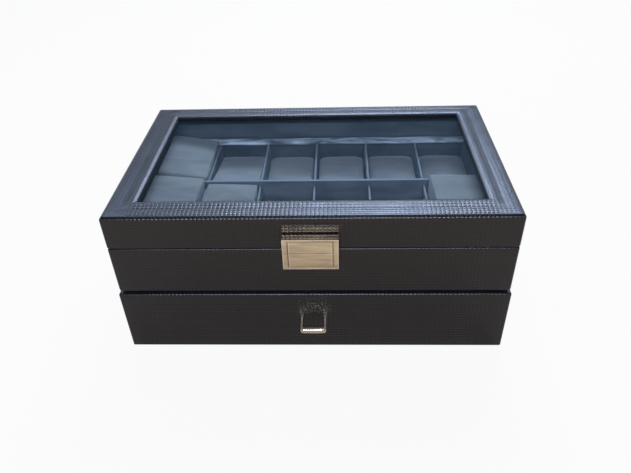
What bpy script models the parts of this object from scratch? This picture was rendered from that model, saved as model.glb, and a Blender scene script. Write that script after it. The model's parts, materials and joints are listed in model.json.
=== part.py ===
"""Two-tier watch display case: a leather-covered case with a glazed lid, a padded tray and a drawer.

Units are metres, +Z is up, +X runs to the right of someone who faces the latch, and the front faces -Y.
The origin is the centre of the underside.
"""

import math

import bmesh
import bpy
from mathutils import Vector

# Outside of the case
CASE_WIDTH = 0.335
CASE_DEPTH = 0.204
CASE_HEIGHT = 0.146
RIM_HEIGHT = 0.1142
SEAM_GAP = 0.0008
BOARD = 0.010
SEAT_GAP = 0.0003
CUT_OVERRUN = 0.002
EDGE_ROUND = 0.0012
CORNER_ROUND = 0.002
ROUND_STEPS = 3
FELT_THICKNESS = 0.001
FELT_INSET = 0.006
BASE_THICKNESS = 0.008
SHELF_THICKNESS = 0.006
SHELF_DROP = 0.0012

# Lid: rails, raised bead round the window, glass
FRONT_RAIL = 0.0245
REAR_RAIL = 0.023
SIDE_RAIL = 0.025
BEAD_WIDTH = 0.0055
BEAD_RISE = 0.0008
BEAD_STEPS = 5
LIP_DEPTH = 0.003
GLASS_THICKNESS = 0.003
GLASS_LAP = 0.006
RETAINER_THICKNESS = 0.002
RETAINER_REVEAL = 0.001

# Upper tray
LINING = 0.0032
LINING_DROP = 0.0004
FLOOR_PAD = 0.0015
COLUMNS = 6
DIVIDER = 0.002
DIVIDER_DROP = 0.0042
CROSS_DIVIDER = 0.003
CROSS_RISE = 0.0053
HALVING_CLEARANCE = 0.0003
LEDGE_DEPTH = 0.0095
LEDGE_ROUND = 0.0015

# Watch pillows
PILLOW_SIDE_GAP = 0.0007
PILLOW_END_GAP = 0.006
PILLOW_DROP = 0.0094
PILLOW_CUTS = 5
PILLOW_SQUARENESS = 5.0
PILLOW_DRAWN_IN_SHARE = 0.03
PILLOW_CROWN_SHARE = 0.10

# Drawer
DRAWER_FRONT_TOP = 0.0661
DRAWER_FRONT_BOTTOM = 0.0028
DRAWER_REVEAL = 0.0026
DRAWER_PROUD = 0.0015
DRAWER_OVERHANG = 0.001
DRAWER_SIDE_GAP = 0.0008
DRAWER_WALL = 0.006
DRAWER_HEADROOM = 0.0095
DRAWER_BACK_GAP = 0.006
DRAWER_FLOOR = 0.003
DRAWER_FLOOR_RISE = 0.0024
DRAWER_LINING = 0.0015
DRAWER_LINING_DROP = 0.002
DRAWER_DIVIDER = 0.002
DRAWER_DIVIDER_HEIGHT = 0.025
DRAWER_ROW_SHARE = 0.5
DRAWER_COLUMNS = 4

# Drawer pull
PULL_WIDTH = 0.023
PULL_REACH = 0.015
PULL_HEIGHT = 0.0032
PULL_ARM = 0.0026
PULL_BAR = 0.0034
PULL_CORNER = 0.003
PULL_TOP = 0.0376
PULL_TANG = 0.005
PULL_EDGE = 0.0004

# Hinges on the back
HINGE_WIDTH = 0.030
HINGE_SPREAD = 0.200
LEAF_LENGTH = 0.014
LEAF_THICKNESS = 0.0012
KNUCKLE_RADIUS = 0.0026
KNUCKLE_GAP = 0.0004
KNUCKLES = 3
HINGE_PIN_RADIUS = 0.0011
HINGE_BORE_RADIUS = 0.0015
PIN_HEAD_RADIUS = 0.0019
PIN_HEAD = 0.0008
ROUND_SIDES = 16

# Latch on the front
LATCH_WIDTH = 0.045
LATCH_RISE = 0.0147
LATCH_HANG = 0.0139
LATCH_REACH = 0.009
LATCH_WALL = 0.0012
LATCH_PIN_REACH = 0.0052
LATCH_PIN_DROP = 0.0036
LATCH_BACK_GAP = 0.0006
LATCH_HEEL = 0.0033
LATCH_BORDER_SIDE = 0.0042
LATCH_BORDER_END = 0.0014
LATCH_RECESS = 0.0005
LATCH_GROOVE = 0.0004
LATCH_GROOVE_SHARE = 0.6
LATCH_LIP = 0.0012
LATCH_PIN_RADIUS = 0.001
LATCH_BORE_RADIUS = 0.0014
LATCH_PIN_INSET = 0.0002
MOUNT_WIDTH = 0.032
MOUNT_PLATE = 0.0012
MOUNT_DROP = 0.0048
MOUNT_HEIGHT = 0.0052
EAR_THICKNESS = 0.003
EAR_RADIUS = 0.0019
EAR_INSET = 0.001
CATCH_WIDTH = 0.028
CATCH_HEIGHT = 0.011
CATCH_DROP = 0.002
STUD_RADIUS = 0.0022
STUD_REACH = 0.0046

# Sizes that follow from those above
half_width = CASE_WIDTH / 2
half_depth = CASE_DEPTH / 2
wall_bottom = FELT_THICKNESS + SEAT_GAP
base_top = wall_bottom + BASE_THICKNESS
lid_bottom = RIM_HEIGHT + SEAM_GAP
upper_front_bottom = DRAWER_FRONT_TOP + DRAWER_REVEAL
shelf_top = upper_front_bottom - SHELF_DROP
shelf_bottom = shelf_top - SHELF_THICKNESS
inner_x = half_width - BOARD
inner_y = half_depth - BOARD
tray_x = inner_x - SEAT_GAP - LINING
tray_y = inner_y - SEAT_GAP - LINING
tray_floor = shelf_top + SEAT_GAP + FLOOR_PAD
divider_bottom = tray_floor + SEAT_GAP
divider_top = RIM_HEIGHT - DIVIDER_DROP
cross_top = divider_top + CROSS_RISE
halving_height = (divider_bottom + divider_top) / 2
pitch = 2 * tray_x / COLUMNS
pillow_width = pitch - DIVIDER - 2 * PILLOW_SIDE_GAP
pillow_length = tray_y - CROSS_DIVIDER / 2 - 2 * PILLOW_END_GAP
pillow_thickness = divider_top - PILLOW_DROP - divider_bottom
pillow_play = PILLOW_SIDE_GAP + PILLOW_DRAWN_IN_SHARE * pillow_width / 2
lip_bottom = CASE_HEIGHT - LIP_DEPTH
glass_top = lip_bottom - SEAT_GAP
glass_bottom = glass_top - GLASS_THICKNESS
retainer_top = glass_bottom - SEAT_GAP
retainer_bottom = retainer_top - RETAINER_THICKNESS
headroom = retainer_bottom - divider_bottom - pillow_thickness
hinge_y = half_depth + SEAT_GAP + KNUCKLE_RADIUS
hinge_z = (RIM_HEIGHT + lid_bottom) / 2
latch_top = lid_bottom + LATCH_RISE
latch_bottom = RIM_HEIGHT - LATCH_HANG
latch_y = -half_depth - LATCH_PIN_REACH
latch_z = latch_top - LATCH_PIN_DROP
drawer_x = inner_x - DRAWER_SIDE_GAP
drawer_front_y = -half_depth - DRAWER_PROUD
drawer_back_y = inner_y - DRAWER_BACK_GAP
drawer_bottom = base_top + SEAT_GAP
drawer_top = shelf_bottom - DRAWER_HEADROOM
drawer_floor_bottom = drawer_bottom + DRAWER_FLOOR_RISE
drawer_floor_top = drawer_floor_bottom + DRAWER_FLOOR

# Pillows that aren't pushed down flat, as they are left after use: row, column from the left, then the lift,
# the left side's rise and the far end's rise as shares of the room above the low pillows, the shifts as shares
# of a pillow's play sideways and of its end gap, and its turn about Z in degrees
RAISED_PILLOW_SHARES = (
    ("rear", 1, 0.59, 0.206, 0.0, 0.65, -0.88, 0.5),
    ("rear", 2, 0.093, 0.0, -0.359, 0.0, -0.60, 0.0),
    ("front", 1, 0.615, 0.114, 0.0, 0.50, 0.75, -0.5),
    ("front", 2, 0.379, 0.046, 0.0, -0.50, 0.75, 0.0),
    ("front", 6, 0.64, 0.023, -0.107, 0.70, 0.75, 0.0),
)


def clear_scene():
    for item in list(bpy.data.objects):
        bpy.data.objects.remove(item, do_unlink=True)


def material(name, colour, roughness, metallic=0.0, alpha=1.0):
    made = bpy.data.materials.new(name)
    made.use_nodes = True
    shader = made.node_tree.nodes["Principled BSDF"]
    shader.inputs["Base Color"].default_value = (*colour, 1.0)
    shader.inputs["Roughness"].default_value = roughness
    shader.inputs["Metallic"].default_value = metallic
    shader.inputs["Alpha"].default_value = alpha
    made.diffuse_color = (*colour, alpha)
    return made


def group(name, place):
    """An empty at a joint's axis. Pieces that move together have it as their parent."""
    empty = bpy.data.objects.new(name, None)
    empty.location = place
    bpy.context.scene.collection.objects.link(empty)
    return empty


def add(name, bm, finish, parent=None):
    """Turns a bmesh, modelled in place, into a named object that hangs from its group's empty."""
    bmesh.ops.recalc_face_normals(bm, faces=bm.faces)
    if parent is not None:
        bmesh.ops.translate(bm, verts=bm.verts, vec=-parent.location)
    mesh = bpy.data.meshes.new(name)
    bm.to_mesh(mesh)
    bm.free()
    mesh.materials.append(finish)
    made = bpy.data.objects.new(name, mesh)
    made.parent = parent
    bpy.context.scene.collection.objects.link(made)
    return made


def prism(first, second):
    """A solid between two outlines with the same number of corners."""
    bm = bmesh.new()
    near = [bm.verts.new(point) for point in first]
    far = [bm.verts.new(point) for point in second]
    bm.faces.new(near)
    bm.faces.new(reversed(far))
    for i in range(len(near)):
        j = (i + 1) % len(near)
        bm.faces.new((near[i], far[i], far[j], near[j]))
    return bm


def along_x(outline, start, end):
    return prism([(start, y, z) for y, z in outline], [(end, y, z) for y, z in outline])


def along_y(outline, start, end):
    return prism([(x, start, z) for x, z in outline], [(x, end, z) for x, z in outline])


def along_z(outline, start, end):
    return prism([(x, y, start) for x, y in outline], [(x, y, end) for x, y in outline])


def arc(centre, radius, start, end, steps):
    """Points on a circle's arc, both ends included, with its angles in degrees."""
    angles = [math.radians(start + (end - start) * i / steps) for i in range(steps + 1)]
    return [(centre[0] + radius * math.cos(a), centre[1] + radius * math.sin(a)) for a in angles]


def circle(centre, radius):
    return arc(centre, radius, 0, 360, ROUND_SIDES)[:-1]


def block(low, high, rounded=(), radius=EDGE_ROUND):
    """A box from its low to its high corner. Edges between two of the faces named in rounded are rounded."""
    bm = along_z([(low[0], low[1]), (high[0], low[1]), (high[0], high[1]), (low[0], high[1])], low[2], high[2])
    bmesh.ops.recalc_face_normals(bm, faces=bm.faces)
    ways = {"-x": (-1, 0, 0), "+x": (1, 0, 0), "-y": (0, -1, 0), "+y": (0, 1, 0), "-z": (0, 0, -1), "+z": (0, 0, 1)}
    wanted = [Vector(ways[name]) for name in rounded]

    def faces_out(face):
        return any(face.normal.dot(way) > 0.9 for way in wanted)

    edges = [edge for edge in bm.edges if all(faces_out(face) for face in edge.link_faces)]
    if edges:
        bmesh.ops.bevel(
            bm, geom=edges, offset=radius, segments=ROUND_STEPS, profile=0.5, affect="EDGES", clamp_overlap=True
        )
    return bm


def window(outer, inner, bottom, top):
    """A flat rectangular frame. Each outline is low x, low y, high x, high y."""
    bm = bmesh.new()

    def loop(box, height):
        corners = ((box[0], box[1]), (box[2], box[1]), (box[2], box[3]), (box[0], box[3]))
        return [bm.verts.new((x, y, height)) for x, y in corners]

    rings = [loop(outer, bottom), loop(outer, top), loop(inner, top), loop(inner, bottom)]
    for k in range(4):
        here, there = rings[k], rings[(k + 1) % 4]
        for i in range(4):
            j = (i + 1) % 4
            bm.faces.new((here[i], here[j], there[j], there[i]))
    return bm


def combine(target, bm, operation):
    """Joins a solid to the target, or cuts it from it, with a live Boolean. The tool shape isn't part of the case."""
    tool = add(f"{target.name}_tool", bm, target.data.materials[0], target.parent)
    tool.hide_render = True
    tool.display_type = "WIRE"
    step = target.modifiers.new(operation.lower(), "BOOLEAN")
    step.operation = operation
    step.object = tool


def smooth(target):
    """Smooth shading on the round faces, with the real edges kept sharp."""
    target.data.shade_smooth()
    target.data.set_sharp_from_angle(angle=math.radians(35))


def build_case(finishes):
    leather, board, felt = finishes["leather"], finishes["board"], finishes["felt"]
    add(
        "base_felt",
        block(
            (FELT_INSET - half_width, FELT_INSET - half_depth, 0),
            (half_width - FELT_INSET, half_depth - FELT_INSET, FELT_THICKNESS),
        ),
        felt,
    )
    panel_x = inner_x - SEAT_GAP
    panel_y = inner_y - SEAT_GAP
    add("case_base_panel", block((-panel_x, -panel_y, wall_bottom), (panel_x, panel_y, base_top)), board)
    add("middle_shelf", block((-panel_x, -panel_y, shelf_bottom), (panel_x, panel_y, shelf_top)), board)
    front = block(
        (-half_width, -half_depth, upper_front_bottom),
        (half_width, -inner_y, RIM_HEIGHT),
        ("-x", "+x", "-y", "+z", "-z"),
    )
    add("case_front_panel", front, leather)
    back = block(
        (-half_width, inner_y, wall_bottom), (half_width, half_depth, RIM_HEIGHT), ("-x", "+x", "+y", "+z", "-z")
    )
    add("case_back_panel", back, leather)
    for name, side, face in (("left", -1, "-x"), ("right", 1, "+x")):
        ends = sorted((side * inner_x, side * half_width))
        low = (ends[0], -panel_y, wall_bottom)
        high = (ends[1], panel_y, RIM_HEIGHT)
        add(f"case_{name}_side", block(low, high, (face, "+z", "-z")), leather)


def build_tray(finishes):
    suede, board = finishes["suede"], finishes["lined_board"]
    outer = (-inner_x + SEAT_GAP, -inner_y + SEAT_GAP, inner_x - SEAT_GAP, inner_y - SEAT_GAP)
    inner = (-tray_x, -tray_y, tray_x, tray_y)
    add("tray_wall_lining", window(outer, inner, shelf_top + SEAT_GAP, RIM_HEIGHT - LINING_DROP), suede)
    pad_x, pad_y = tray_x - SEAT_GAP, tray_y - SEAT_GAP
    add("tray_floor_pad", block((-pad_x, -pad_y, shelf_top + SEAT_GAP), (pad_x, pad_y, tray_floor)), suede)

    slot = DIVIDER / 2 + HALVING_CLEARANCE
    outline = [(-pad_x, cross_top), (-pad_x, divider_bottom)]
    for column in range(1, COLUMNS):
        x = column * pitch - tray_x
        top = halving_height + HALVING_CLEARANCE
        outline += [(x - slot, divider_bottom), (x - slot, top), (x + slot, top), (x + slot, divider_bottom)]
    outline += [(pad_x, divider_bottom), (pad_x, cross_top)]
    add("cross_divider", along_y(outline, -CROSS_DIVIDER / 2, CROSS_DIVIDER / 2), board)

    notch = CROSS_DIVIDER / 2 + HALVING_CLEARANCE
    outline = [
        (-pad_y, divider_bottom),
        (pad_y, divider_bottom),
        (pad_y, divider_top),
        (notch, divider_top),
        (notch, halving_height),
        (-notch, halving_height),
        (-notch, divider_top),
        (-pad_y, divider_top),
    ]
    for column in range(1, COLUMNS):
        x = column * pitch - tray_x
        add(f"column_divider_{column}", along_x(outline, x - DIVIDER / 2, x + DIVIDER / 2), board)

    ledge = block(
        (-pad_x, pad_y - LEDGE_DEPTH, divider_top + SEAT_GAP), (pad_x, pad_y, RIM_HEIGHT), ("-y", "+z"), LEDGE_ROUND
    )
    smooth(add("rear_ledge_strip", ledge, suede))


def pillow_mesh(finish):
    """A cushion: a rounded block whose long sides draw in at the middle and whose faces rise to a crown."""
    bm = bmesh.new()
    bmesh.ops.create_cube(bm, size=2)
    bmesh.ops.subdivide_edges(bm, edges=bm.edges, cuts=PILLOW_CUTS, use_grid_fill=True)
    for vert in bm.verts:
        reach = sum(abs(c) ** PILLOW_SQUARENESS for c in vert.co) ** (1 / PILLOW_SQUARENESS)
        x, y, z = vert.co / reach
        drawn = 1 - PILLOW_DRAWN_IN_SHARE * (1 - y * y)
        crown = 1 - PILLOW_CROWN_SHARE * (x * x + y * y) / 2
        vert.co = (
            x * drawn * pillow_width / 2,
            y * pillow_length / 2,
            z * crown * pillow_thickness / 2,
        )
    mesh = bpy.data.meshes.new("watch_pillow")
    bmesh.ops.recalc_face_normals(bm, faces=bm.faces)
    bm.to_mesh(mesh)
    bm.free()
    mesh.materials.append(finish)
    mesh.shade_smooth()
    return mesh


def cell_middle(column):
    """The middle of a compartment, between the dividers or the wall lining beside it."""
    low = (column - 1) * pitch - tray_x + (DIVIDER / 2 if column > 1 else 0)
    high = column * pitch - tray_x - (DIVIDER / 2 if column < COLUMNS else 0)
    return (low + high) / 2


def build_pillows(finishes):
    mesh = pillow_mesh(finishes["pillow"])
    raised = {(row, column): shares for row, column, *shares in RAISED_PILLOW_SHARES}
    row_middle = (tray_y + CROSS_DIVIDER / 2) / 2
    for row, side in (("front", -1), ("rear", 1)):
        for column in range(1, COLUMNS + 1):
            lift, side_rise, end_rise, across, along, turn = raised.get((row, column), (0,) * 6)
            pillow = bpy.data.objects.new(f"{row}_watch_pillow_{column}", mesh)
            pillow.location = (
                cell_middle(column) + across * pillow_play,
                side * row_middle + along * PILLOW_END_GAP,
                tray_floor + SEAT_GAP + pillow_thickness / 2 + lift * headroom,
            )
            tip = math.atan2(end_rise * headroom, pillow_length)
            roll = math.atan2(side_rise * headroom, pillow_width)
            pillow.rotation_euler = (tip, roll, math.radians(turn))
            bpy.context.scene.collection.objects.link(pillow)


def rail_profile(width):
    """The lid rail's section as distance from the outer face and height: board, lip over the glass, bead on top."""
    face = CASE_HEIGHT - BEAD_RISE
    corner = arc((EDGE_ROUND, face - EDGE_ROUND), EDGE_ROUND, 180, 90, ROUND_STEPS)
    half_bead = BEAD_WIDTH / 2
    angles = [math.pi * (1 - i / BEAD_STEPS) for i in range(BEAD_STEPS + 1)]
    bead = [(width - half_bead + half_bead * math.cos(a), face + BEAD_RISE * math.sin(a)) for a in angles]
    foot = arc((EDGE_ROUND, lid_bottom + EDGE_ROUND), EDGE_ROUND, 270, 180, ROUND_STEPS)
    inside = [
        (width, lip_bottom),
        (width - GLASS_LAP, lip_bottom),
        (width - GLASS_LAP, glass_bottom),
        (BOARD, glass_bottom),
        (BOARD, lid_bottom),
    ]
    return foot + corner + bead + inside


def corner_outline(radius):
    """The case's outline from above, with rounded corners."""
    x, y = half_width - radius, half_depth - radius
    corners = (((x, y), 0), ((-x, y), 90), ((-x, -y), 180), ((x, -y), 270))
    return [point for centre, start in corners for point in arc(centre, radius, start, start + 90, ROUND_STEPS)]


def build_lid(finishes, lid):
    leather, suede, glass = finishes["leather"], finishes["suede"], finishes["glass"]
    half_gap = SEAT_GAP / 2
    rails = {}
    for name, side, width in (("front", -1, FRONT_RAIL), ("rear", 1, REAR_RAIL)):
        ends = []
        for end in (-1, 1):
            mitre = SIDE_RAIL / width
            ends.append(
                [
                    (end * (half_width - u * mitre - half_gap), side * (half_depth - u), z)
                    for u, z in rail_profile(width)
                ]
            )
        rails[name] = add(f"lid_{name}_rail", prism(*ends), leather, lid)
    for name, side in (("left", -1), ("right", 1)):
        ends = []
        for end, width in ((-1, FRONT_RAIL), (1, REAR_RAIL)):
            mitre = width / SIDE_RAIL
            ends.append(
                [
                    (side * (half_width - u), end * (half_depth - u * mitre - half_gap), z)
                    for u, z in rail_profile(SIDE_RAIL)
                ]
            )
        rails[name] = add(f"lid_{name}_rail", prism(*ends), leather, lid)
    for rail in rails.values():
        outline = along_z(corner_outline(CORNER_ROUND), lid_bottom - CUT_OVERRUN, CASE_HEIGHT + CUT_OVERRUN)
        combine(rail, outline, "INTERSECT")

    edge = GLASS_LAP - SEAT_GAP
    low = (SIDE_RAIL - edge - half_width, FRONT_RAIL - edge - half_depth, glass_bottom)
    high = (half_width - SIDE_RAIL + edge, half_depth - REAR_RAIL + edge, glass_top)
    add("glass_pane", block(low, high), glass, lid)

    outer = (-inner_x + SEAT_GAP, -inner_y + SEAT_GAP, inner_x - SEAT_GAP, inner_y - SEAT_GAP)
    reveal = (
        SIDE_RAIL - RETAINER_REVEAL - half_width,
        FRONT_RAIL - RETAINER_REVEAL - half_depth,
        half_width - SIDE_RAIL + RETAINER_REVEAL,
        half_depth - REAR_RAIL + RETAINER_REVEAL,
    )
    add("glass_retainer", window(outer, reveal, retainer_bottom, retainer_top), suede, lid)
    inner = (-tray_x, -tray_y, tray_x, tray_y)
    lining = window(outer, inner, lid_bottom + SEAT_GAP, retainer_bottom - SEAT_GAP)
    add("lid_wall_lining", lining, suede, lid)


def leaf(name, side, knuckles, centre, finish, parent):
    """A hinge leaf on the back: a plate with some of the knuckles. side is 1 for the lid's leaf, -1 for the case's."""
    face = half_depth + SEAT_GAP
    tip = hinge_z + side * LEAF_LENGTH
    start = centre - HINGE_WIDTH / 2
    clear = hinge_z + side * (KNUCKLE_RADIUS + KNUCKLE_GAP)
    plate = [(face, tip), (face + LEAF_THICKNESS, tip), (face + LEAF_THICKNESS, clear), (face, clear)]
    made = add(name, along_x(plate, start, start + HINGE_WIDTH), finish, parent)
    meet = math.degrees(math.acos((KNUCKLE_RADIUS - LEAF_THICKNESS) / KNUCKLE_RADIUS))
    barrel = arc((hinge_y, hinge_z), KNUCKLE_RADIUS, 180, 360 + 180 - meet, ROUND_SIDES)
    if side < 0:
        barrel = arc((hinge_y, hinge_z), KNUCKLE_RADIUS, 180, meet - 180, ROUND_SIDES)
    section = [(face, tip)] + barrel + [(face + LEAF_THICKNESS, tip)]
    step = HINGE_WIDTH / KNUCKLES
    for k in knuckles:
        low = start + k * step + (KNUCKLE_GAP / 2 if k else 0)
        high = start + (k + 1) * step - (KNUCKLE_GAP / 2 if k < KNUCKLES - 1 else 0)
        combine(made, along_x(section, low, high), "UNION")
    bore = circle((hinge_y, hinge_z), HINGE_BORE_RADIUS)
    combine(made, along_x(bore, start - CUT_OVERRUN, start + HINGE_WIDTH + CUT_OVERRUN), "DIFFERENCE")
    smooth(made)


def build_hinges(finishes, lid):
    metal = finishes["metal"]
    outer_knuckles = range(0, KNUCKLES, 2)
    inner_knuckles = range(1, KNUCKLES, 2)
    for name, side in (("left", -1), ("right", 1)):
        centre = side * HINGE_SPREAD / 2
        leaf(f"{name}_hinge_case_leaf", -1, outer_knuckles, centre, metal, None)
        leaf(f"{name}_hinge_lid_leaf", 1, inner_knuckles, centre, metal, lid)
        end = HINGE_WIDTH / 2 + SEAT_GAP
        shaft = along_x(circle((hinge_y, hinge_z), HINGE_PIN_RADIUS), centre - end - PIN_HEAD, centre + end + PIN_HEAD)
        pin = add(f"{name}_hinge_pin", shaft, metal)
        for low in (centre - end - PIN_HEAD, centre + end):
            head = along_x(circle((hinge_y, hinge_z), PIN_HEAD_RADIUS), low, low + PIN_HEAD)
            combine(pin, head, "UNION")
        smooth(pin)


def build_latch(finishes, lid, latch):
    metal = finishes["metal"]
    front = -half_depth - LATCH_REACH
    back = -half_depth - LATCH_BACK_GAP
    half = LATCH_WIDTH / 2
    side = [
        (front, latch_bottom),
        (front, latch_top),
        (latch_y + LATCH_HEEL, latch_top),
        (back, latch_z),
        (back, latch_bottom),
    ]
    flap = add("latch_flap", along_x(side, -half, half), metal, latch)
    inner = front + LATCH_WALL
    open_back = -half_depth + CUT_OVERRUN
    open_end = latch_bottom - CUT_OVERRUN
    cavity = [
        (inner, latch_top - LATCH_WALL),
        (open_back, latch_top - LATCH_WALL),
        (open_back, open_end),
        (inner + LATCH_LIP, open_end),
        (inner + LATCH_LIP, latch_bottom + LATCH_LIP),
        (inner, latch_bottom + LATCH_LIP),
    ]
    combine(flap, along_x(cavity, LATCH_WALL - half, half - LATCH_WALL), "DIFFERENCE")
    panel = half - LATCH_BORDER_SIDE
    recess = block(
        (-panel, front - CUT_OVERRUN, latch_bottom + LATCH_BORDER_END),
        (panel, front + LATCH_RECESS, latch_top - LATCH_BORDER_END),
    )
    combine(flap, recess, "DIFFERENCE")
    groove_z = latch_bottom + LATCH_GROOVE_SHARE * (latch_top - latch_bottom)
    groove = block(
        (-panel, front - CUT_OVERRUN, groove_z - LATCH_GROOVE / 2),
        (panel, front + LATCH_RECESS + LATCH_GROOVE / 2, groove_z + LATCH_GROOVE / 2),
    )
    combine(flap, groove, "DIFFERENCE")
    bore = along_x(circle((latch_y, latch_z), LATCH_BORE_RADIUS), -half - CUT_OVERRUN, half + CUT_OVERRUN)
    combine(flap, bore, "DIFFERENCE")
    smooth(flap)

    reach = half - LATCH_PIN_INSET
    smooth(add("latch_pin", along_x(circle((latch_y, latch_z), LATCH_PIN_RADIUS), -reach, reach), metal, lid))

    plate_back = -half_depth - SEAT_GAP
    plate_front = plate_back - MOUNT_PLATE
    plate_top = latch_z - MOUNT_DROP
    plate_bottom = plate_top - MOUNT_HEIGHT
    mount = add(
        "latch_mount",
        block((-MOUNT_WIDTH / 2, plate_front, plate_bottom), (MOUNT_WIDTH / 2, plate_back, plate_top)),
        metal,
        lid,
    )
    middle = (plate_front + plate_back) / 2
    ear = arc((latch_y, latch_z), EAR_RADIUS, 0, 180, ROUND_SIDES // 2)
    foot = plate_bottom + SEAT_GAP
    ear += [
        (latch_y - EAR_RADIUS, foot),
        (middle, foot),
        (middle, plate_top - SEAT_GAP),
        (latch_y + EAR_RADIUS, plate_top - SEAT_GAP),
    ]
    for turn in (-1, 1):
        ends = sorted((turn * (MOUNT_WIDTH / 2 - EAR_INSET), turn * (MOUNT_WIDTH / 2 - EAR_INSET - EAR_THICKNESS)))
        combine(mount, along_x(ear, *ends), "UNION")
    bore = along_x(circle((latch_y, latch_z), LATCH_BORE_RADIUS), -half, half)
    combine(mount, bore, "DIFFERENCE")
    smooth(mount)

    catch_top = RIM_HEIGHT - CATCH_DROP
    catch = add(
        "catch_plate",
        block((-CATCH_WIDTH / 2, plate_front, catch_top - CATCH_HEIGHT), (CATCH_WIDTH / 2, plate_back, catch_top)),
        metal,
    )
    stud = circle((0, catch_top - CATCH_HEIGHT / 2), STUD_RADIUS)
    combine(catch, along_y(stud, plate_front - STUD_REACH, (plate_front + plate_back) / 2), "UNION")
    smooth(catch)


def build_drawer(finishes, drawer):
    leather, board, suede = finishes["leather"], finishes["board"], finishes["suede"]
    lined = finishes["lined_board"]
    front_x = half_width + DRAWER_OVERHANG
    front = block(
        (-front_x, drawer_front_y, DRAWER_FRONT_BOTTOM),
        (front_x, -inner_y, DRAWER_FRONT_TOP),
        ("-x", "+x", "-y", "+z", "-z"),
    )
    fascia = add("drawer_front", front, leather, drawer)
    box_front = -inner_y + SEAT_GAP
    for name, side in (("left", -1), ("right", 1)):
        ends = sorted((side * (drawer_x - DRAWER_WALL), side * drawer_x))
        low = (ends[0], box_front, drawer_bottom)
        high = (ends[1], drawer_back_y, drawer_top)
        add(f"drawer_{name}_side", block(low, high), board, drawer)
    inside_x = drawer_x - DRAWER_WALL - SEAT_GAP
    inside_y = drawer_back_y - DRAWER_WALL
    back = block((-inside_x, inside_y, drawer_bottom), (inside_x, drawer_back_y, drawer_top))
    add("drawer_back", back, board, drawer)
    floor_low = (-inside_x, box_front, drawer_floor_bottom)
    add("drawer_bottom", block(floor_low, (inside_x, inside_y - SEAT_GAP, drawer_floor_top)), board, drawer)

    skin = (-inside_x, box_front, inside_x, inside_y - SEAT_GAP)
    low, high = drawer_floor_top + SEAT_GAP, drawer_top - DRAWER_LINING_DROP
    lining = add("drawer_lining", block((skin[0], skin[1], low), (skin[2], skin[3], high)), suede, drawer)
    hollow = block(
        (skin[0] + DRAWER_LINING, skin[1] + DRAWER_LINING, low + DRAWER_LINING),
        (skin[2] - DRAWER_LINING, skin[3] - DRAWER_LINING, high + CUT_OVERRUN),
    )
    combine(lining, hollow, "DIFFERENCE")

    cell_x = inside_x - DRAWER_LINING - SEAT_GAP
    cell_front = skin[1] + DRAWER_LINING + SEAT_GAP
    cell_back = skin[3] - DRAWER_LINING - SEAT_GAP
    cell_bottom = low + DRAWER_LINING + SEAT_GAP
    cell_top = cell_bottom + DRAWER_DIVIDER_HEIGHT
    row_y = cell_front + DRAWER_ROW_SHARE * (cell_back - cell_front)
    long_divider = block(
        (-cell_x, row_y - DRAWER_DIVIDER / 2, cell_bottom), (cell_x, row_y + DRAWER_DIVIDER / 2, cell_top)
    )
    add("drawer_long_divider", long_divider, lined, drawer)
    for k in range(1, DRAWER_COLUMNS):
        x = 2 * cell_x * k / DRAWER_COLUMNS - cell_x
        low_corner = (x - DRAWER_DIVIDER / 2, cell_front, cell_bottom)
        high_corner = (x + DRAWER_DIVIDER / 2, row_y - DRAWER_DIVIDER / 2 - SEAT_GAP, cell_top)
        add(f"drawer_short_divider_{k}", block(low_corner, high_corner), lined, drawer)
    build_pull(finishes["metal"], fascia, drawer)


def build_pull(metal, fascia, drawer):
    """A flat bar bent into a U. Its two ends are set into pockets in the drawer front."""
    half = PULL_WIDTH / 2
    root = drawer_front_y + PULL_TANG
    tip = drawer_front_y - PULL_REACH
    inner_corner = PULL_CORNER - PULL_ARM
    outer_left = arc((PULL_CORNER - half, tip + PULL_CORNER), PULL_CORNER, 180, 270, ROUND_STEPS)
    outer_right = arc((half - PULL_CORNER, tip + PULL_CORNER), PULL_CORNER, 270, 360, ROUND_STEPS)
    inner_y_edge = tip + PULL_BAR
    inner_half = half - PULL_ARM
    inner_right = arc((inner_half - inner_corner, inner_y_edge + inner_corner), inner_corner, 0, -90, ROUND_STEPS)
    inner_left = arc((inner_corner - inner_half, inner_y_edge + inner_corner), inner_corner, 270, 180, ROUND_STEPS)
    outline = [(-half, root)] + outer_left + outer_right + [(half, root), (inner_half, root)]
    outline += inner_right + inner_left + [(-inner_half, root)]
    pull = add("drawer_pull", along_z(outline, PULL_TOP - PULL_HEIGHT, PULL_TOP), metal, drawer)
    edge = pull.modifiers.new("soft_edges", "BEVEL")
    edge.width = PULL_EDGE
    edge.segments = 2
    edge.limit_method = "ANGLE"
    edge.angle_limit = math.radians(60)
    smooth(pull)
    for side in (-1, 1):
        middle = side * (half - PULL_ARM / 2)
        reach = PULL_ARM / 2 + SEAT_GAP
        pocket = block(
            (middle - reach, drawer_front_y - CUT_OVERRUN, PULL_TOP - PULL_HEIGHT - SEAT_GAP),
            (middle + reach, root + SEAT_GAP, PULL_TOP + SEAT_GAP),
        )
        combine(fascia, pocket, "DIFFERENCE")


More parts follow.
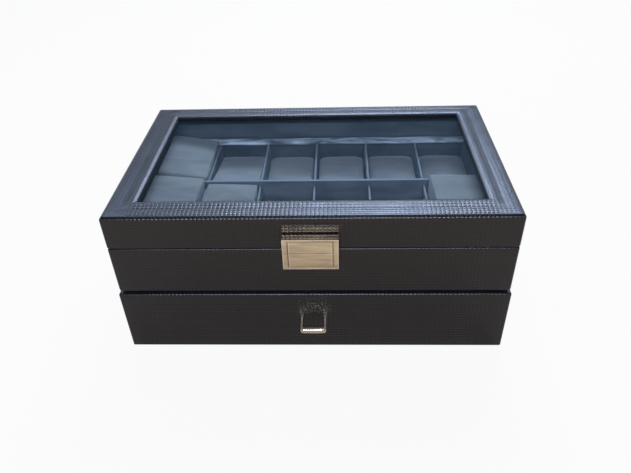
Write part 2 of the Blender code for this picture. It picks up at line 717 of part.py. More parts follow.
def main():
    clear_scene()
    finishes = {
        "leather": material("leather_dark_brown", (0.022, 0.018, 0.015), 0.45),
        "suede": material("suede_slate_grey", (0.055, 0.060, 0.068), 0.95),
        "pillow": material("suede_pillow_grey", (0.19, 0.20, 0.22), 0.95),
        "lined_board": material("suede_covered_board", (0.10, 0.11, 0.12), 0.95),
        "board": material("black_paper_covered_board", (0.02, 0.02, 0.02), 0.8),
        "metal": material("champagne_plated_metal", (0.62, 0.52, 0.38), 0.22, 1.0),
        "glass": material("clear_glass", (0.9, 0.95, 0.95), 0.02, 0.0, 0.25),
        "felt": material("black_felt", (0.012, 0.012, 0.012), 1.0),
    }
    lid = group("lid_axis", (0, hinge_y, hinge_z))
    latch = group("latch_axis", (0, latch_y, latch_z))
    drawer = group("drawer_slide", (0, drawer_front_y, drawer_bottom))
    build_case(finishes)
    build_tray(finishes)
    build_pillows(finishes)
    build_lid(finishes, lid)
    build_hinges(finishes, lid)
    build_latch(finishes, lid, latch)
    build_drawer(finishes, drawer)


main()
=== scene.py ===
"""Looks for a two-tier watch display case: leatherette skins, suede-lined tray, glazed lid and plated latch.

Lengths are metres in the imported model's frame: +X right, -Y out of the front, +Z up, origin under the middle.
"""

import json
import math
from functools import partial

import bmesh
import bpy
import numpy as np
from mathutils import Matrix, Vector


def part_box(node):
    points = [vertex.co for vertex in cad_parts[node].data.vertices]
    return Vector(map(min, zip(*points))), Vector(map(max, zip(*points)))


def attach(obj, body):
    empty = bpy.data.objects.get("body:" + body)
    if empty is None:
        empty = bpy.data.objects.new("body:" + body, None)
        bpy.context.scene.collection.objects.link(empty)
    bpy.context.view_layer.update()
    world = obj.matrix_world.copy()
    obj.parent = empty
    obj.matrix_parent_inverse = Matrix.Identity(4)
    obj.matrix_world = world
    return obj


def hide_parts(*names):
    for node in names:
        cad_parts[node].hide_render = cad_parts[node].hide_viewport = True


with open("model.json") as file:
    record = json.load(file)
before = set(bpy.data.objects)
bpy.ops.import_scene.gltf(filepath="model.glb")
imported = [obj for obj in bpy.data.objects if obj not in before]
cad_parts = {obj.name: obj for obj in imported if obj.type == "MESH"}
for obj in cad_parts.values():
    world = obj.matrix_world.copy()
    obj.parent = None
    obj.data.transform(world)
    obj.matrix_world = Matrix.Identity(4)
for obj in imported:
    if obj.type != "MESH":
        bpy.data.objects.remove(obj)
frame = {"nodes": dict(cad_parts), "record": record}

MM = 0.001
BODY_OF = {node: body for body, nodes in frame["record"]["behaviour"]["bodies"].items() for node in nodes}
SLOT_OF = {row["node"]: row["material_slot"] for row in frame["record"]["subparts"]}

# The pressed grain's cells, across and along, and how far they swell
CELL_ACROSS = 3.43 * MM
CELL_ALONG = 3.05 * MM
CELL_SWELL = 0.22 * MM


def corners(node):
    """A node's box as two arrays."""
    low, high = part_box(node)
    return np.array(low), np.array(high)


# The case's walls, and the lid with the widths of its side, front and rear rails
FOOT = corners("case_back_panel")[0][2]
HALF_WIDTH, HALF_DEPTH, RIM = corners("case_back_panel")[1]
LID_BOTTOM, LID_TOP = (corner[2] for corner in corners("lid_front_rail"))
SIDE_RAIL, FRONT_RAIL, REAR_RAIL = (
    np.ptp(corners(node), axis=0)[axis]
    for node, axis in (("lid_left_rail", 0), ("lid_front_rail", 1), ("lid_rear_rail", 1))
)
RAILS = np.array([SIDE_RAIL, FRONT_RAIL, REAR_RAIL])

# The boards' thickness, and the radius of the upright corners outside and at the window
BOARD = 10 * MM
CORNER = 2.2 * MM
WINDOW_CORNER = 0.8 * MM


# Finishes. Inputs 0 to 4 of a Map Range node are the value, the span that it is read over and the span that
# it becomes, which is 0 to 1 where it isn't given. Those of a Mix node are 0 for the share, and 6 and 7 for
# the two colours.


def linear(colour):
    """An sRGB hex value as the linear colour that shaders take."""
    parts = [int(colour[i : i + 2], 16) / 255 for i in (1, 3, 5)]
    return tuple(c / 12.92 if c <= 0.04045 else ((c + 0.055) / 1.055) ** 2.4 for c in parts) + (1.0,)


def add_node(tree, kind, inputs=(), **settings):
    """Adds a shader node. Each input is a value, a socket, or a node whose first output feeds it."""
    made = tree.nodes.new(kind)
    for name, value in settings.items():
        setattr(made, name, value)
    for key, value in dict(inputs).items():
        if isinstance(value, bpy.types.Node):
            value = value.outputs[0]
        if isinstance(value, bpy.types.NodeSocket):
            tree.links.new(value, made.inputs[key])
        else:
            made.inputs[key].default_value = value
    return made


def new_finish(name):
    """A material that has no nodes yet, and the function that adds them."""
    made = bpy.data.materials.new(name)
    made.use_nodes = True
    made.node_tree.nodes.clear()
    return made, partial(add_node, made.node_tree)


def pressed_leatherette():
    """Polyurethane leather, hot-pressed with a square basket grain, under a thin semi-matt top coat."""
    made, add = new_finish("pressed_leatherette")
    sheet = add("ShaderNodeSeparateXYZ", {0: add("ShaderNodeUVMap", uv_map="skin")})
    waves = []
    for axis, pitch in enumerate((CELL_ACROSS, CELL_ALONG)):
        turn = add("ShaderNodeMath", {0: sheet.outputs[axis], 1: math.pi / pitch}, operation="MULTIPLY")
        sine = add("ShaderNodeMath", {0: turn}, operation="SINE")
        waves.append(add("ShaderNodeMath", {0: sine}, operation="ABSOLUTE"))
    # each cell is a small cushion inside a pressed line: the product of two sines, raised to a power under 1
    cell = add("ShaderNodeMath", {0: waves[0], 1: waves[1]}, operation="MULTIPLY")
    swell = add("ShaderNodeMath", {0: cell, 1: 0.65}, operation="POWER")

    place = add("ShaderNodeTexCoord").outputs["Object"]
    # pores of the coat, 0.45 mm apart
    pores = add("ShaderNodeTexVoronoi", {"Vector": place, "Scale": 1 / (0.45 * MM)})
    # the board under the skin isn't quite flat
    board = add("ShaderNodeTexNoise", {"Vector": place, "Scale": 1 / (45 * MM), "Detail": 1.0})
    # the coat is thicker and thinner in patches
    patches = add("ShaderNodeTexNoise", {"Vector": place, "Scale": 1 / (15 * MM), "Detail": 3.0})
    # the plate pressed harder in some places than in others
    press = add("ShaderNodeTexNoise", {"Vector": place, "Scale": 1 / (28 * MM)})
    least, most = 0.75 * CELL_SWELL, 1.05 * CELL_SWELL
    press = add("ShaderNodeMapRange", {0: press, 1: 0.35, 2: 0.65, 3: least, 4: most})
    # past the window, over the two ends, the sheet is drawn tight, which flattens its grain
    window = HALF_WIDTH - SIDE_RAIL
    sideways = add("ShaderNodeSeparateXYZ", {0: place}).outputs["X"]
    sideways = add("ShaderNodeMath", {0: sideways}, operation="ABSOLUTE")
    tight = add("ShaderNodeMapRange", {0: sideways, 1: window, 2: window + 6 * MM, 3: 1.0, 4: 0.35})

    press = add("ShaderNodeMath", {0: press, 1: tight}, operation="MULTIPLY")
    rise = add("ShaderNodeMath", {0: swell, 1: press}, operation="MULTIPLY")
    for layer, height in ((pores, 0.008 * MM), (board, 0.4 * MM)):
        rise = add("ShaderNodeMath", {0: layer, 1: height, 2: rise}, operation="MULTIPLY_ADD")
    # painted shade: the pressed lines between the cells are coloured darker than the cells' crowns, as shade
    # would fall in them
    tone = add("ShaderNodeMix", {0: swell, 6: linear("#0a0807"), 7: linear("#13100d")}, data_type="RGBA")
    coat = {
        "Base Color": tone.outputs[2],
        "Roughness": add("ShaderNodeMapRange", {0: patches, 1: 0.3, 2: 0.7, 3: 0.28, 4: 0.37}),
        "Normal": add("ShaderNodeBump", {"Height": rise, "Distance": 1.0, "Strength": 1.0}),
        "Specular IOR Level": 0.46,
        "Specular Tint": linear("#fff0df"),
        "Sheen Weight": 0.1,
        "Sheen Roughness": 0.4,
        "Sheen Tint": linear("#e7f3ff"),
    }
    add("ShaderNodeOutputMaterial", {"Surface": add("ShaderNodeBsdfPrincipled", coat)})
    return made


def brushed_suede(name, shadow, nap, patch, sheen, painted_light_and_polish=None, painted_shade_height=None):
    """Microfibre suede: a short nap that lies in brushed patches, so its tone shifts where it was stroked.
    The colour given after the sheen is a painted highlight: faces that point up are drawn towards it, as if
    lit from above. Above the height given last, a painted shade turns the lining near black, as in deep shade."""
    made, add = new_finish(name)
    place = add("ShaderNodeTexCoord").outputs
    strokes = add("ShaderNodeMapping", {"Vector": place["Object"], "Scale": (0.35, 1.0, 1.0)})
    stroked = {"Vector": strokes, "Scale": 1 / patch, "Detail": 5.0, "Distortion": 0.4}
    stroked = add("ShaderNodeMapRange", {0: add("ShaderNodeTexNoise", stroked), 1: 0.35, 2: 0.65})
    tone = add("ShaderNodeMix", {0: stroked, 6: linear(shadow), 7: linear(nap)}, data_type="RGBA").outputs[2]
    # painted highlight: faces whose normal points up are drawn towards a paler colour, as if lit from above
    if painted_light_and_polish:
        upward = add("ShaderNodeSeparateXYZ", {0: place["Normal"]}).outputs["Z"]
        upward = add("ShaderNodeMapRange", {0: upward, 1: 0.5, 2: 0.95})
        tone = add("ShaderNodeMix", {0: upward, 6: tone, 7: linear(painted_light_and_polish)}, data_type="RGBA").outputs[2]
    # painted shade: above the given height the lining is drawn near black, as if in deep shade under the frame
    if painted_shade_height:
        soft = 0.1 * MM
        height = add("ShaderNodeSeparateXYZ", {0: place["Object"]}).outputs["Z"]
        painted_shade = add("ShaderNodeMapRange", {0: height, 1: painted_shade_height - soft, 2: painted_shade_height + soft})
        tone = add("ShaderNodeMix", {0: painted_shade, 6: tone, 7: linear("#08090a")}, data_type="RGBA").outputs[2]
    fibre = add("ShaderNodeTexNoise", {"Vector": place["Object"], "Scale": 1 / (0.5 * MM)})
    cloth = {
        "Base Color": tone,
        "Roughness": 0.95,
        "Normal": add("ShaderNodeBump", {"Height": fibre, "Distance": 0.12 * MM, "Strength": 0.8}),
        "Sheen Weight": sheen,
        "Sheen Roughness": 0.45,
        "Specular IOR Level": 0.2,
    }
    add("ShaderNodeOutputMaterial", {"Surface": add("ShaderNodeBsdfPrincipled", cloth)})
    return made


def plated_metal():
    """Zinc alloy, die cast and polished, with pale champagne plating: a mirror with faint pressing waves."""
    made, add = new_finish("champagne_plated_zinc")
    place = add("ShaderNodeTexCoord").outputs["Object"]
    # waves of the pressing lie level, as long streaks
    level = add("ShaderNodeMapping", {"Vector": place, "Scale": (0.18, 1.0, 1.0)})
    waves = add("ShaderNodeTexNoise", {"Vector": level, "Scale": 1 / (5.5 * MM), "Distortion": 0.4})
    # wiping leaves the plating duller in places
    wiped = add("ShaderNodeTexNoise", {"Vector": place, "Scale": 1 / (5 * MM), "Detail": 4.0})
    # painted reflection: level streaks of paler and greyer tone across the plating, standing in for reflected
    # bands
    painted_reflection_streaks = add("ShaderNodeTexNoise", {"Vector": level, "Scale": 1 / (4.5 * MM), "Distortion": 0.4})
    painted_reflection_streaks = add("ShaderNodeMapRange", {0: painted_reflection_streaks, 1: 0.35, 2: 0.65})
    tone = {0: painted_reflection_streaks, 6: linear("#c2ae8d"), 7: linear("#dfc79e")}
    tone = add("ShaderNodeMix", tone, data_type="RGBA").outputs[2]
    # the wear attribute brightens or darkens the plating: on the pull it is the polish of fingers, on the
    # latch's face it is painted highlight on the rims and painted shade in the grooves
    wear_and_painted_light = add("ShaderNodeAttribute", attribute_name="wear_and_painted_light").outputs["Fac"]
    for most, colour in ((1.0, "#f8e9ce"), (-1.0, "#3b3226")):
        amount = add("ShaderNodeMapRange", {0: wear_and_painted_light, 1: 0.0, 2: most})
        tone = add("ShaderNodeMix", {0: amount, 6: tone, 7: linear(colour)}, data_type="RGBA").outputs[2]
    plate = {
        "Base Color": tone,
        "Metallic": 1.0,
        "Roughness": add("ShaderNodeMapRange", {0: wiped, 1: 0.3, 2: 0.7, 3: 0.08, 4: 0.17}),
        "Normal": add("ShaderNodeBump", {"Height": waves, "Distance": 0.04 * MM, "Strength": 1.0}),
    }
    add("ShaderNodeOutputMaterial", {"Surface": add("ShaderNodeBsdfPrincipled", plate)})
    return made


def float_glass():
    """Float glass, 3 mm, a touch green. Light falls through it unbent, as it does through a real pane."""
    made, add = new_finish("float_glass")
    ray = add("ShaderNodeLightPath").outputs
    clear = add("ShaderNodeBsdfTransparent", {"Color": linear("#f3f7f6")})
    pane = {"Base Color": linear("#f1f7f4"), "Roughness": 0.02, "IOR": 1.45, "Transmission Weight": 1.0}
    light = add("ShaderNodeMath", {0: ray["Is Shadow Ray"], 1: ray["Is Diffuse Ray"]}, operation="MAXIMUM")
    glass = add("ShaderNodeMixShader", {0: light, 1: add("ShaderNodeBsdfPrincipled", pane), 2: clear})
    add("ShaderNodeOutputMaterial", {"Surface": glass})
    return made


def papered_board():
    """Grey fibreboard under black textured paper, dull and slightly fibrous."""
    made, add = new_finish("black_papered_board")
    place = add("ShaderNodeTexCoord").outputs["Object"]
    fibre = add("ShaderNodeTexNoise", {"Vector": place, "Scale": 1 / (1.2 * MM), "Detail": 5.0})
    tone = add("ShaderNodeMix", {0: fibre, 6: linear("#181716"), 7: linear("#2a2826")}, data_type="RGBA")
    bump = add("ShaderNodeBump", {"Height": fibre, "Distance": 0.08 * MM, "Strength": 1.0})
    paper = {"Base Color": tone.outputs[2], "Roughness": 0.75, "Normal": bump}
    add("ShaderNodeOutputMaterial", {"Surface": add("ShaderNodeBsdfPrincipled", paper)})
    return made


def needled_felt():
    """Needled felt, 1 mm, black: matted fibres that swallow light."""
    made, add = new_finish("black_needled_felt")
    place = add("ShaderNodeTexCoord").outputs["Object"]
    fibre = {"Vector": place, "Scale": 1 / (0.7 * MM), "Detail": 6.0, "Distortion": 1.5}
    fibre = add("ShaderNodeTexNoise", fibre)
    tone = add("ShaderNodeMix", {0: fibre, 6: linear("#101010"), 7: linear("#262524")}, data_type="RGBA")
    bump = add("ShaderNodeBump", {"Height": fibre, "Distance": 0.3 * MM, "Strength": 1.0})
    felt = {"Base Color": tone.outputs[2], "Roughness": 1.0, "Normal": bump, "Sheen Weight": 0.2}
    add("ShaderNodeOutputMaterial", {"Surface": add("ShaderNodeBsdfPrincipled", felt)})
    return made


# Making pieces


def settle(made, nodes, finish):
    """Puts a piece in the scene: its finish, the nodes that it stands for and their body."""
    made.data.materials.clear()
    made.data.materials.append(finish)
    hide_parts(*nodes)
    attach(made, BODY_OF[nodes[0]])
    return made


def settle_trim(made, carrier, finish):
    """Puts in a piece that stands for no node, on the body of the node that carries it."""
    made.data.materials.append(finish)
    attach(made, BODY_OF[carrier])


def add_object(name, mesh):
    """A new object for a mesh, in the scene."""
    made = bpy.data.objects.new(name, mesh)
    bpy.context.scene.collection.objects.link(made)
    return made


def points_of(mesh):
    """A mesh's points as an array (points, 3)."""
    co = np.zeros(len(mesh.vertices) * 3)
    mesh.vertices.foreach_get("co", co)
    return co.reshape(-1, 3)


def evaluated(made):
    """A mesh of an object as its modifiers leave it."""
    return bpy.data.meshes.new_from_object(made.evaluated_get(bpy.context.evaluated_depsgraph_get()))


def weld(mesh, sharp):
    """Merges points that coincide, drops faces without area, turns all faces out, and keeps edges over the
    angle sharp."""
    bm = bmesh.new()
    bm.from_mesh(mesh)
    bmesh.ops.remove_doubles(bm, verts=bm.verts, dist=1e-6)
    bmesh.ops.dissolve_degenerate(bm, edges=bm.edges, dist=1e-7)
    bmesh.ops.recalc_face_normals(bm, faces=bm.faces)
    bm.to_mesh(mesh)
    bm.free()
    mesh.shade_smooth()
    mesh.set_sharp_from_angle(angle=math.radians(sharp))


def skin(name, patches, sharp=40, wear_and_painted_light=None):
    """One closed skin from grids of points. A patch is points (rows, columns, 3) and the metres along the
    sheet there (rows, columns, 2), which become the UV map that the pressed grain follows. The last argument
    gives each point a value from -1 to 1 that darkens or brightens the plating: polish, painted highlight,
    painted shade."""
    points = np.concatenate([grid.reshape(-1, 3) for grid, flat in patches])
    metres = np.concatenate([flat.reshape(-1, 2) for grid, flat in patches])
    faces, start = [], 0
    for grid, flat in patches:
        index = start + np.arange(grid.shape[0] * grid.shape[1]).reshape(grid.shape[:2])
        ring = (index[:-1, :-1], index[:-1, 1:], index[1:, 1:], index[1:, :-1])
        faces.append(np.stack(ring, -1).reshape(-1, 4))
        start += index.size
    faces = np.concatenate(faces)
    mesh = bpy.data.meshes.new(name)
    mesh.from_pydata(points.tolist(), [], faces.tolist())
    layer = mesh.uv_layers.new(name="skin")
    layer.data.foreach_set("uv", metres[faces.ravel()].astype(np.float32).ravel())
    if wear_and_painted_light is not None:
        painted_light_and_polish = mesh.attributes.new("wear_and_painted_light", "FLOAT", "POINT")
        painted_light_and_polish.data.foreach_set("value", wear_and_painted_light.astype(np.float32).ravel())
    weld(mesh, sharp)
    return add_object(name, mesh)


def fan(row):
    """A patch that closes an open end: a row of points, and its middle once for each of them."""
    grid = np.stack([row, np.broadcast_to(row.mean(0), row.shape)])
    return grid, grid[..., :2]


def run_length(run):
    """The distance along a run of points, from its start to each point."""
    return np.concatenate([[0], np.cumsum(np.hypot(*np.diff(np.array(run), axis=0).T))])


def rounded_loop(low, high, radius, along=(40, 26), corner=7):
    """A rectangle with round corners as a closed run of points: front, right, rear, left. With it comes the
    distance along it, which is zero in the middle of the front."""
    (x0, y0), (x1, y1) = low, high
    turns = np.radians(np.linspace(0, 90, corner + 1))
    pieces = []
    sides = (
        ((x0 + radius, y0), (x1 - radius, y0), (x1 - radius, y0 + radius), -90, along[0]),
        ((x1, y0 + radius), (x1, y1 - radius), (x1 - radius, y1 - radius), 0, along[1]),
        ((x1 - radius, y1), (x0 + radius, y1), (x0 + radius, y1 - radius), 90, along[0]),
        ((x0, y1 - radius), (x0, y0 + radius), (x0 + radius, y0 + radius), 180, along[1]),
    )
    for start, end, centre, angle, steps in sides:
        share = np.linspace(0, 1, steps + 1)[:-1, None]
        pieces.append(np.array(start) * (1 - share) + np.array(end) * share)
        arc = turns + math.radians(angle)
        pieces.append(np.stack([centre[0] + radius * np.cos(arc), centre[1] + radius * np.sin(arc)], -1)[:-1])
    run = np.concatenate(pieces + [pieces[0][:1]])
    return run, run_length(run) - (x1 - x0 - 2 * radius) / 2


def level_ring(side, front, rear, radius, height):
    """A level closed run of points (columns, 3), at distances in from the case's sides, front and rear."""
    low, high = (side - HALF_WIDTH, front - HALF_DEPTH), (HALF_WIDTH - side, HALF_DEPTH - rear)
    run, _ = rounded_loop(low, high, radius)
    return np.concatenate([run, np.full((len(run), 1), height)], -1)


def arc_points(centre, radii, start, end, steps):
    """Points on an ellipse between two angles in degrees, both ends included."""
    turn = np.radians(np.linspace(start, end, steps + 1))
    return list(zip(centre[0] + radii[0] * np.cos(turn), centre[1] + radii[1] * np.sin(turn)))


def eased(node, width, finish, segments=2):
    """A copy of a node with its flat faces made whole and every real edge softened by a small bevel."""
    flat, real_edge = math.radians(1), math.radians(30)
    mesh = frame["nodes"][node].data.copy()
    mesh.name = f"{node}_eased"
    bm = bmesh.new()
    bm.from_mesh(mesh)
    bmesh.ops.remove_doubles(bm, verts=bm.verts, dist=1e-6)
    bmesh.ops.dissolve_limit(bm, angle_limit=flat, verts=bm.verts, edges=bm.edges)
    bmesh.ops.recalc_face_normals(bm, faces=bm.faces)
    bm.to_mesh(mesh)
    bm.free()
    mesh.shade_smooth()
    mesh.set_sharp_from_angle(angle=real_edge)
    made = add_object(f"{node}_eased", mesh)
    bevel = made.modifiers.new("eased_edges", "BEVEL")
    bevel.width = width
    bevel.segments = segments
    bevel.limit_method = "ANGLE"
    bevel.angle_limit = real_edge
    bevel.harden_normals = True
    return settle(made, [node], finish)


def board_patches(low, high, radius, spans, steps=4):
    """A board with every edge rounded. Points on its box's faces are pulled in to the core box plus the
    radius, along the line to their nearest core point, which gives round edges and ball corners."""
    low, high = np.array(low), np.array(high)
    middle, half = (low + high) / 2, (high - low) / 2
    core = half - radius
    ease = radius * np.tan(np.radians(np.linspace(0, 45, steps + 1)))
    lines = []
    for reach, span in zip(core, spans):
        inside = np.linspace(-reach, reach, span + 1)[1:-1]
        lines.append(np.concatenate([-reach - ease[::-1], inside, reach + ease]))
    patches = []
    for axis, side in ((0, -1), (0, 1), (1, -1), (1, 1), (2, -1), (2, 1)):
        u, v = [k for k in range(3) if k != axis]
        a, b = np.meshgrid(lines[u], lines[v], indexing="ij")
        grid = np.zeros(a.shape + (3,))
        grid[..., u], grid[..., v], grid[..., axis] = a, b, side * half[axis]
        nearest = np.clip(grid, -core, core)
        out = grid - nearest
        out /= np.linalg.norm(out, axis=-1, keepdims=True)
        place = middle + nearest + radius * out
        patches.append((place, place[..., [u, v]]))
    return patches


# The leather skins


def lid_skin(finish):
    """The leatherette over the lid's frame: one section carried round the frame. It runs up the outer face,
    over a softly padded edge, across the top, over the bead and down to the glass, then back underneath.
    Points in the middle of the top keep their share of the way as the rails differ in width."""
    face, bulge = LID_TOP - 0.6 * MM, 0.15 * MM
    hem, hem_round = 4 * MM, 1 * MM
    edge, drop = 3.6 * MM, 3.0 * MM
    outer = [(BOARD, LID_BOTTOM), (hem, LID_BOTTOM)]
    outer += arc_points((hem_round, LID_BOTTOM + hem_round), (hem_round, hem_round), 270, 180, 5)
    outer += [(0.0, LID_BOTTOM + height * MM) for height in (6, 12, 18, 24)]
    outer += arc_points((edge, face - drop), (edge, drop), 180, 90, 10)
    share = np.linspace(0, 1, 9)[1:]
    top = list(zip(share, face + bulge * np.sin(math.pi * share)))
    # the bead climbs softly from the flat sheet to its crest, then falls a little and turns down at its brow
    reach, crest, brow = 12.0 * MM, 4.6 * MM, 1.6 * MM
    fall, brow_foot, brow_height = 0.55 * MM, 2.6 * MM, 2.0 * MM
    way = np.linspace(0, 1, 15)[1:]
    climb = (1 - np.cos(math.pi * way)) / 2
    bead = list(zip((reach - crest) * way - reach, face + (LID_TOP - face) * climb))
    way = np.linspace(0, 1, 9)[1:]
    bead += list(zip((crest - brow) * way - crest, LID_TOP - fall * way**1.8))
    bead += arc_points((-brow, LID_TOP - brow_foot), (brow, brow_height), 66, 0, 8)[1:]
    lip, lap, chamfer = LID_TOP - 3.0 * MM, 6.0 * MM, 0.4 * MM
    ceiling = lip - 3.3 * MM
    under = [(0.0, lip + chamfer), (-chamfer, lip), (-lap, lip), (-lap, ceiling)]
    # corners keep a least radius, and open out over the top and away from the window's edge
    least, opened, opening = 0.5 * MM, 2.6 * MM, 0.26

    def carry(points, kind, slack=None):
        """Places section points round the frame. Their first value is the distance in from the outer face,
        the share of the way over the top, or the distance past the window's edge. Slack is more distance."""
        grid = []
        for number, (inset, height) in enumerate(points):
            if kind == "outer":
                insets, radius = np.full(3, inset), max(CORNER - inset, least)
            elif kind == "top":
                insets, radius = edge + inset * (RAILS - reach - edge), least + opened * inset
            else:
                insets, radius = RAILS + inset, WINDOW_CORNER + opening * max(-inset, 0)
            if slack is not None:
                insets = insets + slack[number]
            grid.append(level_ring(*insets, radius, height))
        return np.array(grid)

    shell = carry(outer, "outer")
    distance = run_length(outer) - run_length(outer)[-1] - (HALF_DEPTH - edge)
    along = rounded_loop((-HALF_WIDTH, -HALF_DEPTH), (HALF_WIDTH, HALF_DEPTH), CORNER)[1]
    flat = np.stack(np.broadcast_arrays(along, distance[:, None]), -1)
    sheet = carry(top, "top")
    roll = carry(bead, "window")
    # on the sheet, the bead's skin takes more length than it spans
    slack = run_length(bead) - (np.array(bead)[:, 0] - bead[0][0])
    rolled = carry(bead, "window", slack)
    below = carry(under, "window")
    # under the frame the section returns to the board's inner foot, the same distance in on every side
    foot = carry([(BOARD, ceiling), (BOARD, LID_BOTTOM)], "outer")
    cover = np.concatenate([shell[-1:], sheet, roll])
    cover_flat = np.concatenate([shell[-1:], sheet, rolled])[..., :2]
    inner = np.concatenate([roll[-1:], below, foot])
    inner_flat = np.concatenate([rolled[-1:], below, foot])[..., :2]
    return settle(
        skin("lid_leatherette", [(shell, flat), (cover, cover_flat), (inner, inner_flat)]),
        ["lid_front_rail", "lid_rear_rail", "lid_left_rail", "lid_right_rail"],
        finish,
    )


def painted_shade_strip(finish):
    """A black strip between the glass and the frame's edge, a painted shade where the frame's inner flank lies
    in
    shade: a thin upright section carried round the window."""
    foot, top = corners("glass_pane")[1][2] + 0.05 * MM, LID_TOP - 1.2 * MM
    sunk, proud = -0.4 * MM, 0.12 * MM
    section = [(sunk, foot), (proud, foot), (proud, top), (sunk, top), (sunk, foot)]
    grid = np.array([level_ring(*(RAILS + inset), WINDOW_CORNER, height) for inset, height in section])
    made = skin("painted_shade_strip", [(grid, grid[..., :2])], 50)
    settle_trim(made, "glass_retainer", finish)


def case_skin(finish):
    """The leatherette over the case's walls, in one sheet with a cut-out for the drawer. A closed section of
    the wall is carried round the case. Its foot steps from the hem over the drawer down to the underside."""
    step_y = corners("case_left_side")[0][1]
    front_low = corners("case_front_panel")[0][2]
    ease, rim_ease, first_row = 1.2 * MM, 1.4 * MM, 8 * MM
    inner_ease, ease_middle = 1 * MM, 0.3 * MM
    run, along = rounded_loop((-HALF_WIDTH, -HALF_DEPTH), (HALF_WIDTH, HALF_DEPTH), CORNER)
    # two columns are added on each side where the drawer's cut-out ends
    right = np.flatnonzero((run[:-1, 1] < step_y) & (run[1:, 1] >= step_y) & (run[:-1, 0] > 0))[0]
    left = np.flatnonzero((run[:-1, 1] >= step_y) & (run[1:, 1] < step_y) & (run[:-1, 0] < 0))[0]
    length_right = along[right] + step_y - run[right, 1]
    length_left = along[left] + run[left, 1] - step_y
    where = [right + 1] * 2 + [left + 1] * 2
    run = np.insert(run, where, [[HALF_WIDTH, step_y]] * 2 + [[-HALF_WIDTH, step_y]] * 2, axis=0)
    along = np.insert(along, where, [length_right] * 2 + [length_left] * 2)
    low = np.full(len(run), FOOT)
    low[: right + 2] = front_low
    low[left + 4 :] = front_low
    core = np.array([HALF_WIDTH - BOARD, HALF_DEPTH - BOARD])
    inward = np.clip(run, -core, core) - run
    inward /= np.abs(inward).max(axis=1, keepdims=True)

    def ring(inset, height):
        """The run drawn in by a distance, at a height for each column."""
        return np.concatenate([run + inset * inward, np.broadcast_to(height, len(run))[:, None]], -1)

    turn = np.radians(np.linspace(0, 90, 6))
    rows = [ring(BOARD, low)]
    rows += [ring(ease * (1 - math.sin(a)), low + ease * (1 - math.cos(a))) for a in turn]
    rows += [ring(0, np.maximum(low + ease, front_low + ease))]
    rows += [ring(0, height) for height in np.linspace(front_low + first_row, RIM - rim_ease, 6)]
    rows += [ring(rim_ease * (1 - math.cos(a)), RIM - rim_ease * (1 - math.sin(a))) for a in turn[1:]]
    rows += [ring(BOARD - inner_ease, RIM), ring(BOARD - ease_middle, RIM - ease_middle)]
    rows += [ring(BOARD, RIM - inner_ease), ring(BOARD, np.maximum(low, front_low)), ring(BOARD, low)]
    grid = np.array(rows)
    flat = np.stack([np.broadcast_to(along, grid.shape[:2]), grid[..., 2]], -1)
    return settle(
        skin("case_leatherette", [(grid, flat)]),
        ["case_front_panel", "case_back_panel", "case_left_side", "case_right_side"],
        finish,
    )


def drawer_skin(finish):
    """The leatherette over the drawer's front board, which has every edge rounded."""
    patches = board_patches(*corners("drawer_front"), 1.4 * MM, spans=(40, 4, 10))
    return settle(skin("drawer_front_leatherette", patches), ["drawer_front"], finish)


# Metal, hem and screws


def pull_bar(finish):
    """The drawer pull: a U in plan between an outer and an inner outline, with a section whose corners are
    rounded. The bar's front bows out a little."""
    low, high = corners("drawer_pull")
    half, tip = high[0], low[1]
    root = corners("drawer_front")[0][1] + 1.0 * MM
    # the casting is fuller than the bare bar by its rounded lips, above and below
    lip = 0.6 * MM
    foot, deep = low[2] - lip, high[2] - low[2] + 2 * lip
    arm, bar, corner, inner_corner = 2.6 * MM, 3.4 * MM, 3.0 * MM, 0.9 * MM
    ease, bow = 0.7 * MM, 0.35 * MM
    turn = np.radians(np.linspace(180, 270, 9))

    def side(reach, tip_y, radius):
        """An outline: down the left arm, round the corner, along the bar and back up the right arm."""
        arm_y = np.linspace(root, tip_y + radius, 8)[:-1]
        arc = np.stack([radius - reach + radius * np.cos(turn), tip_y + radius + radius * np.sin(turn)], -1)
        bar_x = np.linspace(radius - reach, 0, 9)[1:]
        straight_arm = np.stack([np.full_like(arm_y, -reach), arm_y], -1)
        straight_bar = np.stack([bar_x, np.full_like(bar_x, tip_y)], -1)
        run = np.concatenate([straight_arm, arc, straight_bar])
        return np.concatenate([run, (run * (-1, 1))[::-1][1:]])

    outer = side(half, tip, corner)
    outer[:, 1] += bow * (outer[:, 0] / half) ** 2 * (outer[:, 1] < tip + corner)
    inner = side(half - arm, tip + bar, inner_corner)
    across = np.linalg.norm(inner - outer, axis=-1)
    quarter = np.radians(np.linspace(0, 90, 5))
    # the section: on the outer or the inner outline, the distance from there, and the height
    on_inner, offset, rise = [], [], []
    for x_side, z_side, start in ((0, 0, 180), (1, 0, 270), (1, 1, 0), (0, 1, 90)):
        arc = quarter + math.radians(start)
        on_inner.append(np.full_like(arc, x_side))
        offset.append((-1 if x_side else 1) * ease + ease * np.cos(arc))
        rise.append(z_side * deep + (-1 if z_side else 1) * ease + ease * np.sin(arc))
    on_inner, offset, rise = (np.concatenate(v + [v[0][:1]]) for v in (on_inner, offset, rise))
    share = on_inner[None, :] + offset[None, :] / across[:, None]
    plan = outer[:, None, :] + (inner - outer)[:, None, :] * share[..., None]
    grid = np.concatenate([plan, np.broadcast_to(foot + rise, share.shape)[..., None]], -1)
    patches = [(grid, grid[..., :2])] + [fan(grid[end]) for end in (0, -1)]
    # fingers keep the whole pull bright
    wear_and_painted_light = np.full(sum(points[..., 0].size for points, flat in patches), 0.5)
    return settle(skin("drawer_pull_bar", patches, 50, wear_and_painted_light), ["drawer_pull"], finish)


